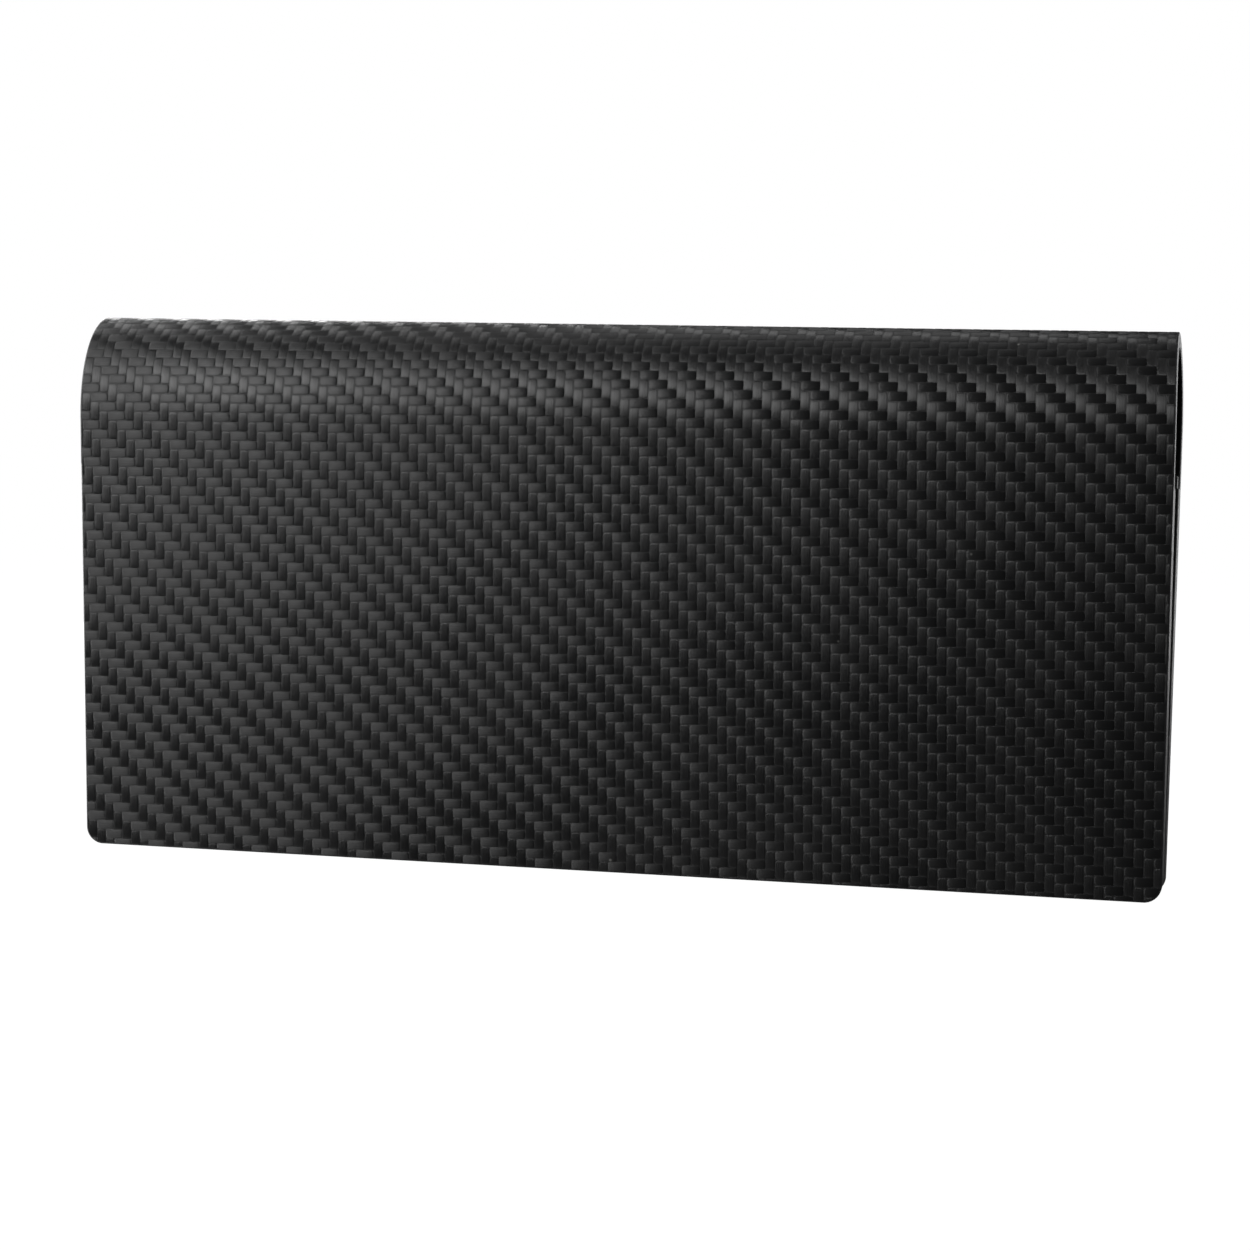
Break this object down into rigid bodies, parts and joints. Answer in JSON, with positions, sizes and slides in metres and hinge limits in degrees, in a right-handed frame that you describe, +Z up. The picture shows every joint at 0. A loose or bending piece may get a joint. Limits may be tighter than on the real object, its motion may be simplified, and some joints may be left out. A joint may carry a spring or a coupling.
{
  "type": "long bifold wallet",
  "caption": "Slim long bifold wallet of twill-embossed leather, with card slots, note pockets and a zipped coin pocket inside.",
  "frame": {"origin": "on the surface that the wallet stands on, under the middle of its length and thickness", "axes": "+X along the fold, -Y out of the front leaf, +Z up from the open edges to the fold"},
  "size_m": [0.19, 0.0222, 0.094],
  "materials": {
    "carbon_leather": "black split leather embossed with a 2 by 2 twill, semi-gloss coated",
    "backing_board": "bonded leather fibre board, matte",
    "smooth_leather": "fine-grain black leather, low sheen",
    "edge_paint": "rubbery edge paint, satin",
    "zip_fabric": "woven polyester tape",
    "zip_coil": "nylon coil",
    "zip_metal": "gunmetal plated zinc"
  },
  "bodies": {
    "back_leaf": {"cover_back": "carbon_leather", "backing_back": "backing_board", "lining_back": "smooth_leather", "edge_paint_back": "edge_paint", "note_panel_back": "smooth_leather", "coin_front_wall": "smooth_leather", "coin_gusset_left": "smooth_leather", "coin_gusset_right": "smooth_leather", "zip_tape_back": "zip_fabric", "zip_tape_front": "zip_fabric", "zip_coil_back": "zip_coil", "zip_coil_front": "zip_coil", "zip_end_stops": "zip_metal"},
    "zip_slider": {"zip_slider": "zip_metal"},
    "zip_pull": {"zip_pull": "zip_metal"},
    "spine": {"cover_spine": "carbon_leather", "backing_spine": "backing_board", "lining_spine": "smooth_leather", "edge_paint_spine": "edge_paint"},
    "front_leaf": {"cover_front": "carbon_leather", "backing_front": "backing_board", "lining_front": "smooth_leather", "edge_paint_front": "edge_paint", "note_panel_front": "smooth_leather", "card_slot_left_1": "smooth_leather", "card_slot_left_2": "smooth_leather", "card_slot_left_3": "smooth_leather", "card_slot_right_1": "smooth_leather", "card_slot_right_2": "smooth_leather", "card_slot_right_3": "smooth_leather"}
  },
  "joints": [
    {"name": "fold_back", "type": "hinge", "parent": "back_leaf", "child": "spine", "pos_m": [0, 0.00827, 0.09127], "axis": [-1, 0, 0], "range_deg": [0, 90]},
    {"name": "fold_front", "type": "hinge", "parent": "spine", "child": "front_leaf", "pos_m": [0, -0.00827, 0.09127], "axis": [-1, 0, 0], "range_deg": [0, 90]},
    {"name": "zip_run", "type": "slide", "parent": "back_leaf", "child": "zip_slider", "axis": [-1, 0, 0], "range_m": [0, 0.157]},
    {"name": "pull_swing", "type": "hinge", "parent": "zip_slider", "child": "zip_pull", "pos_m": [0.0788, 0.00265, 0.07375], "axis": [0, 1, 0], "range_deg": [0, 180]}
  ],
  "couplings": [
    {"joint": "fold_front", "follows": "fold_back", "ratio": 1}
  ]
}
